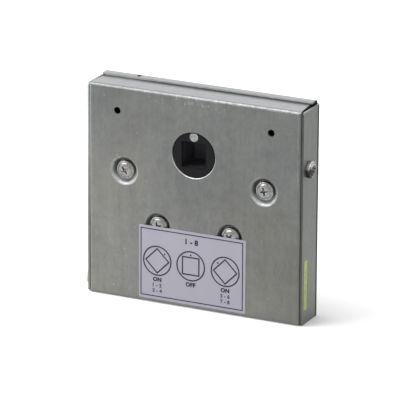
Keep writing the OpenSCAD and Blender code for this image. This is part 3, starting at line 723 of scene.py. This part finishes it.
def screw_tree():
    """Tree that puts a threaded screw on each point, turned by the point's facing."""
    tree = Tree("screw_set")
    head = tree.input("Head", "Object")
    core = tree.input("Core radius", "Float", 0.002)
    crest = tree.input("Crest height", "Float", 0.0002)
    length = tree.input("Shank length", "Float", 0.003)
    turns = tree.input("Turns", "Float", 4.0)
    metal = tree.input("Metal", "Material")
    head_shape = tree.node("ObjectInfo", output="Geometry", Object=head)
    shank = tree.node("MeshCylinder", {"fill_type": "NGON"}, Vertices=32, Radius=core, Depth=length)
    # The shank's end reaches a hair into the head
    middle = tree.vector(Z=tree.maths("MULTIPLY", length, -0.4995))
    shank = tree.node("Transform", Geometry=shank, Translation=middle)
    # The thread leaves both ends of the shank bare
    helix = tree.node(
        "CurveSpiral", Resolution=24, Rotations=turns, Start_Radius=core, End_Radius=core,
        Height=tree.maths("MULTIPLY", length, 0.85),
    )
    section = tree.node("CurvePrimitiveCircle", {"mode": "RADIUS"}, Resolution=6, Radius=crest)
    thread = tree.node("CurveToMesh", Curve=helix, Profile_Curve=section, Fill_Caps=True)
    lowest = tree.vector(Z=tree.maths("MULTIPLY", length, -0.92))
    thread = tree.node("Transform", Geometry=thread, Translation=lowest)
    screw = tree.node("JoinGeometry", Geometry=[head_shape, shank, thread])
    facing = tree.node("InputNamedAttribute", {"data_type": "FLOAT_VECTOR"}, Name="facing")
    points = tree.node("MeshToPoints", Mesh=tree.start.outputs[0])
    tree.finish(tree.node("InstanceOnPoints", Points=points, Instance=screw, Rotation=facing), metal)
    return tree


def place_screws(tree, node, name, outward, turns, look, metal):
    """Replaces a CAD node of like screws by detailed ones; outward is where their heads face."""
    outward = Vector(outward)
    boxes = solid_boxes(node)
    size = boxes[0][1] - boxes[0][0]
    along = [abs(share) for share in outward].index(1.0)
    across = 0 if along else 2
    radius = size[across] / 2
    height = radius * look.height_share
    shank = size[along] - height
    seats = [(low + high) / 2 + outward * (size[along] / 2 - height) for low, high in boxes]
    base = bpy.data.meshes.new("points")
    base.from_pydata([tuple(seat) for seat in seats], [], [])
    facing = base.attributes.new("facing", "FLOAT_VECTOR", "POINT")
    upright = outward.to_track_quat("Z", "Y").to_matrix()
    for point, turn in zip(facing.data, turns):
        point.vector = Vector((upright @ Matrix.Rotation(math.radians(turn), 3, "Z")).to_euler())
    points = new_object("points", base)
    head = screw_head(radius, height, look)
    made = tree.run(
        points,
        name,
        {
            "Head": head,
            "Core radius": radius * look.shank_share - look.crest * MM,
            "Crest height": look.crest * MM,
            "Shank length": shank,
            "Turns": shank / (look.pitch * MM),
            "Metal": metal,
        },
    )
    discard(points, head)
    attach(made, "housing")
    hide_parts(node)


# Printed label

def icon_tree():
    """Tree that prints three turned squares in rings, each with its index dot."""
    tree = Tree("position_icons")
    ring = tree.input("Ring radius", "Float", 0.0072)
    square = tree.input("Square side", "Float", 0.0086)
    line = tree.input("Line width", "Float", 0.0005)
    depth = tree.input("Ink thickness", "Float", 0.00002)
    dot = tree.input("Dot radius", "Float", 0.0003)
    dot_at = tree.input("Dot distance", "Float", 0.0055)
    pitch = tree.input("Pitch", "Float", 0.0176)
    slip = tree.input("First icon's slip", "Float", 0.0004)
    step = tree.input("Turn step", "Float", ROTOR_STEP)
    ink = tree.input("Ink", "Material")
    circle = tree.node("CurvePrimitiveCircle", {"mode": "RADIUS"}, Resolution=96, Radius=ring)
    square_line = tree.node("CurvePrimitiveQuadrilateral", Width=square, Height=square)
    # A square's corners narrow its line to 0.7 of the nib, so its nib is wider
    wide = tree.maths("MULTIPLY", line, math.sqrt(2))
    icon = []
    for outline, width in ((circle, line), (square_line, wide)):
        nib = tree.node("CurvePrimitiveQuadrilateral", Width=width, Height=depth)
        flat = tree.node("SetCurveNormal", {"mode": "Z_UP"}, Curve=outline)
        icon.append(tree.node("CurveToMesh", Curve=flat, Profile_Curve=nib))
    spot = tree.node("MeshCylinder", {"fill_type": "NGON"}, Vertices=24, Radius=dot, Depth=depth)
    icon.append(tree.node("Transform", Geometry=spot, Translation=tree.vector(Y=dot_at)))
    first = tree.vector(X=tree.maths("MULTIPLY", pitch, -1.0))
    row = tree.node("MeshLine", Count=3, Start_Location=first, Offset=tree.vector(X=pitch))
    index = tree.node("InputIndex")
    turn = tree.maths("MULTIPLY", tree.maths("SUBTRACT", index, 1.0), step)
    # The print sits a little unevenly: the first icon is nearer to the middle one
    is_first = tree.maths("LESS_THAN", index, 0.5)
    nudge = tree.vector(X=tree.maths("MULTIPLY", is_first, slip))
    row = tree.node("SetPosition", Geometry=row, Offset=nudge)
    tree.finish(
        tree.node(
            "InstanceOnPoints",
            Points=row,
            Instance=tree.node("JoinGeometry", Geometry=icon),
            Rotation=tree.vector(Z=turn),
        ),
        ink,
    )
    return tree


def printed_icons(look, ink):
    """The row of icons, with its middle at the origin."""
    blank = new_object("blank", bpy.data.meshes.new("blank"))
    icons = icon_tree().run(
        blank,
        "icons",
        {
            "Ring radius": look.ring,
            "Square side": look.square,
            "Line width": look.line,
            "Ink thickness": INK_DEPTH,
            "Dot radius": look.dot,
            "Dot distance": look.ring * 0.76,
            "Pitch": look.pitch,
            "First icon's slip": look.slip,
            "Turn step": ROTOR_STEP,
            "Ink": ink,
        },
    )
    discard(blank)
    return icons


def printed_words(look):
    """The words under the icons, the numbers under the outer ones and the numbers above the row.

    Heights are taken from the middle of the row. Bold widens the strokes, in shares of the font's
    size, and small figures take less of it before they close up.
    """
    words_y, numbers_y, numbers_step = -0.0093, -0.0122, -0.0028
    numbers_cap, heading_cap = look.cap * 0.84, look.cap * 1.25
    heading_at = (0.0005, 0.0120)
    first_x = look.slip - look.pitch
    words = []
    for x, word in ((first_x, "ON"), (0, "OFF"), (look.pitch, "ON")):
        words.append(lettering(word, look.cap, (x, words_y), bold=0.060))
    for x, numbers in ((first_x, ("1 - 2", "3 - 4")), (look.pitch, ("5 - 6", "7 - 8"))):
        for row, number in enumerate(numbers):
            place = (x, numbers_y + numbers_step * row)
            words.append(lettering(number, numbers_cap, place, bold=0.036))
    words.append(lettering("1 - 8", heading_cap, heading_at, bold=0.050))
    return words


def lettering(words, cap_height, centre, bold):
    """Letters as thick as the ink in the X-Y plane, scaled to their cap height and centred."""
    half_depth = 0.01
    curve = bpy.data.curves.new("words", "FONT")
    curve.body = words
    curve.offset = bold
    curve.extrude = half_depth
    curve.space_character = 1.06
    curve.resolution_u = 6
    text = new_object("words", curve)
    made = plain_copy(text, "letters")
    discard(text)
    xs = [v.co.x for v in made.data.vertices]
    ys = [v.co.y for v in made.data.vertices]
    middle = Vector(((max(xs) + min(xs)) / 2, (max(ys) + min(ys)) / 2, 0))
    scale = cap_height / (max(ys) - min(ys))
    flatten = INK_DEPTH / (2 * half_depth)
    made.data.transform(Matrix.Translation(-middle))
    made.data.transform(Matrix.Diagonal((scale, scale, flatten, 1)))
    made.data.transform(Matrix.Translation((*centre, 0)))
    return made


def printed_border(look):
    """Thin line along the label's edge, a little nearer to it on the left, around the row's middle."""
    wider = look.inset * 0.4
    label = LABEL_HIGH - LABEL_LOW
    middle = (LABEL_LOW + LABEL_HIGH) / 2
    width = label.x - 2 * look.inset + wider
    border = line_frame(width, label.z - 2 * look.inset, look.line * 0.75)
    border.data.transform(Matrix.Translation((middle.x - wider / 2 - ROW.x, middle.z - ROW.z, 0)))
    return border


def line_frame(width, height, line):
    """Rectangular frame as thick as the ink, mitred at its corners."""
    work = bmesh.new()
    layers = []
    for z in (-INK_DEPTH / 2, INK_DEPTH / 2):
        for shrink in (0, line):
            x, y = width / 2 - shrink, height / 2 - shrink
            corners = ((-x, -y, z), (x, -y, z), (x, y, z), (-x, y, z))
            layers.append([work.verts.new(corner) for corner in corners])
    back_out, back_in, front_out, front_in = layers
    around = (front_out, front_in, back_in, back_out)
    for i in range(4):
        j = (i + 1) % 4
        for a, b in zip(around, (*around[1:], front_out)):
            work.faces.new((a[i], a[j], b[j], b[i]))
    bmesh.ops.recalc_face_normals(work, faces=work.faces)
    return new_object("border", mesh_of(work, "border"))


# Studio

def make_camera(scene, look):
    """Camera that looks at the target from the right of the front and from above."""
    data = bpy.data.cameras.new("camera")
    data.lens = look.lens
    data.sensor_width = 36
    data.clip_start, data.clip_end = 0.05, 50
    camera = new_object("camera", data)
    turn, rise = look.azimuth, look.elevation
    back = Vector((math.sin(turn) * math.cos(rise), -math.cos(turn) * math.cos(rise), math.sin(rise)))
    camera.location = Vector(look.target) + back * look.distance
    facing = (-back).to_track_quat("-Z", "Y").to_matrix()
    camera.rotation_euler = (facing @ Matrix.Rotation(look.roll, 3, "Z")).to_euler()
    scene.camera = camera


def area_lamp(name, place, width, height, power):
    """Soft lamp that is turned to the middle of the box."""
    middle = Vector((0, 0, 0.05))
    data = bpy.data.lights.new(name, "AREA")
    data.shape = "RECTANGLE"
    data.size, data.size_y = width, height
    data.energy = power
    lamp = new_object(name, data)
    lamp.location = place
    lamp.rotation_euler = (middle - Vector(place)).to_track_quat("-Z", "Y").to_euler()


def make_world(scene, look):
    """World that is white to look at and in reflections, and a softer sky for matte surfaces."""
    world = bpy.data.worlds.new("studio")
    world.use_nodes = True
    world.node_tree.nodes.clear()
    nodes = ShaderNodes(world.node_tree)
    sky = nodes.value("Background", Color=WHITE, Strength=look.sky)
    white = nodes.value("Background", Color=WHITE, Strength=1.0)
    nodes.node("OutputWorld", Surface=nodes.mixed_shaders(nodes.seen_rays(), sky, white))
    scene.world = world


def make_floor():
    """Pale floor that keeps the object's shadow and fades into the white of the background."""
    half_size, gap = 6.0, 0.0001
    fade_from, fade_to = 0.6 / MM, 2.0 / MM
    work = bmesh.new()
    bmesh.ops.create_grid(work, x_segments=2, y_segments=2, size=half_size)
    floor = new_object("floor", mesh_of(work, "floor"))
    floor.location.z = -gap
    paint = Paint("floor_white", Base_Color=(0.86, 0.86, 0.86), Roughness=0.9, Specular_IOR_Level=0.0)
    surface = Value(paint, paint.shader.outputs[0])
    glow = paint.value("Emission", Strength=0.22)
    lifted = paint.value("AddShader", Shader=surface, Shader_001=glow)
    white = paint.value("Emission", Strength=1.0)
    reach = paint.value("VectorMath", {"operation": "LENGTH"}, "Value", Vector=paint.place())
    seen = paint.mixed_shaders(reach.ramp(fade_from, fade_to), lifted, white)
    shown = paint.mixed_shaders(paint.seen_rays(), surface, seen)
    paint.feed(paint.tree.nodes["Material Output"].inputs["Surface"], shown)
    floor.data.materials.append(paint.material)


# Properties

def a_share(name, description, default, low=0.0, high=1.0):
    return bpy.props.FloatProperty(
        name=name, description=description, default=default, min=low, max=high, subtype="FACTOR"
    )


def a_colour(name, description, default):
    return bpy.props.FloatVectorProperty(
        name=name, description=description, default=default, min=0.0, max=1.0, subtype="COLOR"
    )


def a_length(name, description, default):
    """A length in metres."""
    return bpy.props.FloatProperty(
        name=name, description=description, default=default, min=0.0, subtype="DISTANCE"
    )


def an_angle(name, description, degrees):
    return bpy.props.FloatProperty(
        name=name, description=description, default=math.radians(degrees), subtype="ANGLE"
    )


def a_number(name, description, default, low, high):
    return bpy.props.FloatProperty(
        name=name, description=description, default=default, min=low, max=high
    )


class SheetLook(bpy.types.PropertyGroup):
    colour: a_colour("Zinc colour", "Colour of the galvanised sheet", (0.160, 0.164, 0.157))
    roughness: a_share("Roughness", "Mean roughness of the zinc", 0.40)
    metallic: a_share("Metallic", "Share of metallic reflection", 0.78)
    streaks: a_share("Streaks", "Strength of the rolling streaks", 0.22)
    fine: a_share("Fine streaks", "Strength of the finest rolling streaks", 0.32)
    bands: a_share("Bands", "Strength of the broad bands along the rolling", 0.22)
    clouds: a_share("Clouds", "Strength of the cloudy patches", 0.50)
    patches: a_share("Patches", "Strength of the widest patches", 0.30)
    blotches: a_share("Blotches", "Strength of the small blotches", 0.38)
    grain: a_share("Grain", "Strength of the zinc's crystal grain", 0.05)
    scratches: a_share("Scratches", "Brightness of the scratches along the rolling", 0.20)
    strays: a_share("Stray scratches", "Brightness of the scratches across the rolling", 0.40)
    specks: a_share("Specks", "Brightness of the light specks", 0.60)
    pits: a_share("Pits", "Darkness of the small pits", 0.16)
    # Strength of the painted shade on the right wall's cut edge
    cut_edge: a_share("Cut edge", "Darkness of the right wall's cut edge", 0.45)
    # Strength and radius of the painted highlight round the dimples
    burnish: a_number("Burnish", "How much brighter the pressed dimples are", 1.3, 0.0, 3.0)
    dimple_reach: a_number(
        "Dimple reach", "Radius of the burnished ring, in millimetres", 7.7, 5.0, 10.0
    )
    # Outer radius of the painted highlight on the stem hole's edge
    hole_edge: a_number(
        "Hole edge", "Outer radius of the stem hole's bright edge, in millimetres", 11.45, 10.0, 13.0
    )


class ScrewLook(bpy.types.PropertyGroup):
    height_share: a_share("Head height", "Head height as a share of its radius", 0.617, 0.3, 1.0)
    crown_share: a_share(
        "Crown", "Radius of the head's raised crown as a share of the head's", 0.74, 0.5, 0.82
    )
    recess_share: a_share(
        "Recess reach", "Reach of the cross recess as a share of the radius", 0.48, 0.2, 0.8
    )
    recess_depth: a_share(
        "Recess depth", "Depth of the recess as a share of the height", 0.50, 0.2, 0.9
    )
    shank_share: a_share("Shank radius", "Shank radius as a share of the head's", 0.51, 0.3, 0.7)
    crest: a_number(
        "Thread crest", "Height of the thread over the core, in millimetres", 0.14, 0.05, 0.3
    )
    pitch: a_number("Thread pitch", "Pitch of the thread, in millimetres", 0.8, 0.4, 1.5)
    colour: a_colour("Plating colour", "Colour of the zinc-plated screws", (0.25, 0.25, 0.245))


class PrintLook(bpy.types.PropertyGroup):
    film: a_colour("Film colour", "Colour of the label's film", (0.385, 0.375, 0.438))
    ink: a_colour("Ink colour", "Colour of the print", (0.022, 0.018, 0.034))
    strip: a_colour("Strip colour", "Colour of the inspection strip", (0.36, 0.46, 0.055))
    ring: a_length("Ring radius", "Radius of the printed rings", 0.0072)
    square: a_length("Square side", "Side of the printed squares", 0.0086)
    dot: a_length("Dot radius", "Radius of the printed index dots", 0.00046)
    line: a_length("Line width", "Width of the printed lines", 0.00068)
    pitch: a_length("Icon pitch", "Distance between the three icons", 0.0180)
    slip: a_length("First icon's slip", "How far the first icon sits nearer to the middle", 0.0004)
    cap: a_length("Letter height", "Height of the capitals", 0.0023)
    inset: a_length("Border inset", "Distance of the border from the label's edge", 0.0013)


class StudioLook(bpy.types.PropertyGroup):
    distance: a_length("Distance", "Distance of the camera from its target", 2.0)
    azimuth: an_angle("Azimuth", "Camera's turn to the right of the front", 25.56)
    elevation: an_angle("Elevation", "Camera's angle above the floor", 18.43)
    roll: an_angle("Roll", "Camera's turn about its own axis", 0.31)
    lens: a_number("Lens", "Focal length in millimetres", 383.3, 10.0, 1000.0)
    target: bpy.props.FloatVectorProperty(
        name="Target", description="Point that the camera looks at",
        default=(0.00353, COVER_LOW.y, 0.05497), subtype="TRANSLATION",
    )
    sky: a_number("Sky light", "Strength of the world on matte surfaces", 0.42, 0.0, 2.0)
    overhead: a_number("Overhead lamp", "Power of the overhead lamp in watts", 18.0, 0.0, 100.0)
    key: a_number("Side lamp", "Power of the side lamp in watts", 2.5, 0.0, 100.0)
    rear: a_number("Rear lamp", "Power of the lamp behind the box in watts", 6.0, 0.0, 100.0)


# Operators

class SWITCHBOX_OT_sheet_metal(bpy.types.Operator):
    """Give the cover, the housing and the brackets their zinc finish"""
    bl_idname = "switchbox.sheet_metal"
    bl_label = "Finish sheet metal"

    def execute(self, context):
        look = context.scene.switchbox_sheet
        dress("front_cover", sheet_metal("zinc_cover", look, cover_wear_and_light))
        dress("back_housing", sheet_metal("zinc_housing", look, housing_light_and_shade))
        plate = plated_steel("bracket_plating", (0.36, 0.36, 0.34), 0.38)
        for side in ("right", "left"):
            dress(side + "_switch_bracket", plate)
        return {"FINISHED"}


class SWITCHBOX_OT_screws(bpy.types.Operator):
    """Replace the CAD screws by screws with rounded heads, cross recesses and threads"""
    bl_idname = "switchbox.screws"
    bl_label = "Make screws"

    def execute(self, context):
        look = context.scene.switchbox_screw
        new = tuple(look.colour)
        # The wall screw's plating is a darker copy of the screws' plating, with painted light on top
        # and painted shade below
        shaded_colour = tuple(part * 0.8 for part in new)
        metal = plated_steel("screw_plating", new, 0.25, depth=0.07, marks=2.04)
        shaded_metal = plated_steel("worn_plating", shaded_colour, 0.24, depth=0.20, marks=2.16, light_and_shade=1.6)
        tree = screw_tree()
        # CAD node, name, where the heads face, turns of the recesses in degrees and plating
        for node, name, outward, turns, plating in (
            ("bracket_screws", "face_screws", (0, -1, 0), (38, 20, -35, 12), metal),
            ("cover_screw", "wall_screw", (1, 0, 0), (20,), shaded_metal),
            ("right_switch_screws", "right_case_screws", (0, 1, 0), (10, 55), metal),
            ("left_switch_screws", "left_case_screws", (0, 1, 0), (70, 25), metal),
        ):
            place_screws(tree, node, name, outward, turns, look, plating)
        return {"FINISHED"}


class SWITCHBOX_OT_label(bpy.types.Operator):
    """Print the three rotor positions on the label"""
    bl_idname = "switchbox.label"
    bl_label = "Print label"

    def execute(self, context):
        look = context.scene.switchbox_print
        dress("position_label", label_film("label_film", tuple(look.film)))
        dress("inspection_strip", strip_film("strip_film", tuple(look.strip)))
        ink = print_ink("label_ink", tuple(look.ink))
        pieces = [printed_icons(look, ink), *printed_words(look), printed_border(look)]
        made = joined(pieces, "label_print")
        made.data.transform(Matrix.Rotation(math.pi / 2, 4, "X"))
        made.data.transform(Matrix.Translation((ROW.x, ROW.y - INK_DEPTH / 2, ROW.z)))
        made.data.materials.clear()
        made.data.materials.append(ink)
        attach(made, "housing")
        return {"FINISHED"}


class SWITCHBOX_OT_rotor(bpy.types.Operator):
    """Finish the rotor, its dot, the cam and their bearings"""
    bl_idname = "switchbox.rotor"
    bl_label = "Finish rotor"

    def execute(self, context):
        nylon = moulded_plastic("nylon", (0.72, 0.72, 0.70), 0.42, 0.01)
        acetal = moulded_plastic("acetal", (0.80, 0.79, 0.75), 0.34, 0.008)
        black = moulded_plastic("rotor_black", (0.009, 0.009, 0.010), 0.60, shine=0.12, hollow_light=8.0)
        dress("rotor", black)
        dress("index_dot", moulded_plastic("dot_inlay", (0.35, 0.355, 0.35), 0.45, 0.03, stain=1.1))
        dress("cam", acetal)
        dress("cam_retaining_ring", plated_steel("oiled_spring_steel", (0.10, 0.10, 0.11), 0.32))
        for node in ("thrust_washer", "rear_bush", "lead_bushing"):
            dress(node, nylon)
        for side in ("right", "left"):
            dress(side + "_roller", acetal)
        return {"FINISHED"}


class SWITCHBOX_OT_switches(bpy.types.Operator):
    """Finish the two snap switches inside the box"""
    bl_idname = "switchbox.switches"
    bl_label = "Finish switches"

    def execute(self, context):
        pin_steel = plated_steel("pin_steel", (0.58, 0.58, 0.58), 0.22)
        finishes = {
            "switch_case": moulded_plastic("case_black", (0.035, 0.033, 0.033), 0.5, 0.03),
            "case_cover": moulded_plastic("case_cover_brown", (0.055, 0.048, 0.043), 0.45, 0.03),
            "plunger": moulded_plastic("plunger_red", (0.50, 0.035, 0.02), 0.3, 0.008, 0.3),
            "lever": plated_steel("lever_strip", (0.52, 0.52, 0.53), 0.26),
            "lever_pin": pin_steel,
            "roller_pin": pin_steel,
            "terminals": plated_steel("blade_brass", (0.62, 0.44, 0.17), 0.28),
        }
        for side in ("right", "left"):
            for node, material in finishes.items():
                dress(side + "_" + node, material)
        return {"FINISHED"}


class SWITCHBOX_OT_studio(bpy.types.Operator):
    """Set up the floor, the lamps, the world and the camera"""
    bl_idname = "switchbox.studio"
    bl_label = "Build studio"

    def execute(self, context):
        scene = context.scene
        look = scene.switchbox_studio
        make_camera(scene, look)
        make_world(scene, look)
        make_floor()
        area_lamp("overhead_lamp", (-0.50, -0.25, 1.10), 0.8, 1.3, look.overhead)
        area_lamp("rear_lamp", (-0.65, 1.35, 0.80), 1.3, 0.8, look.rear)
        area_lamp("side_lamp", (-1.0, -0.9, 0.7), 0.7, 0.7, look.key)
        scene.view_settings.view_transform = "Standard"
        return {"FINISHED"}


class SWITCHBOX_PT_panel(bpy.types.Panel):
    bl_label = "Position Switch"
    bl_idname = "SWITCHBOX_PT_panel"
    bl_space_type = "VIEW_3D"
    bl_region_type = "UI"
    bl_category = "Position Switch"

    def draw(self, context):
        for operator in OPERATORS:
            self.layout.operator(operator.bl_idname)
        for name in GROUPS:
            box = self.layout.box()
            group = getattr(context.scene, name)
            for key in group.bl_rna.properties.keys():
                if key not in ("rna_type", "name"):
                    box.prop(group, key)


OPERATORS = (
    SWITCHBOX_OT_sheet_metal,
    SWITCHBOX_OT_screws,
    SWITCHBOX_OT_label,
    SWITCHBOX_OT_rotor,
    SWITCHBOX_OT_switches,
    SWITCHBOX_OT_studio,
)
GROUPS = {
    "switchbox_sheet": SheetLook,
    "switchbox_screw": ScrewLook,
    "switchbox_print": PrintLook,
    "switchbox_studio": StudioLook,
}
CLASSES = (*GROUPS.values(), *OPERATORS, SWITCHBOX_PT_panel)


def register():
    for kind in CLASSES:
        bpy.utils.register_class(kind)
    for name, kind in GROUPS.items():
        setattr(bpy.types.Scene, name, bpy.props.PointerProperty(type=kind))


def unregister():
    for name in GROUPS:
        delattr(bpy.types.Scene, name)
    for kind in reversed(CLASSES):
        bpy.utils.unregister_class(kind)


def main():
    register()
    for operator in OPERATORS:
        group, name = operator.bl_idname.split(".")
        getattr(getattr(bpy.ops, group), name)()


if __name__ == "__main__":
    main()
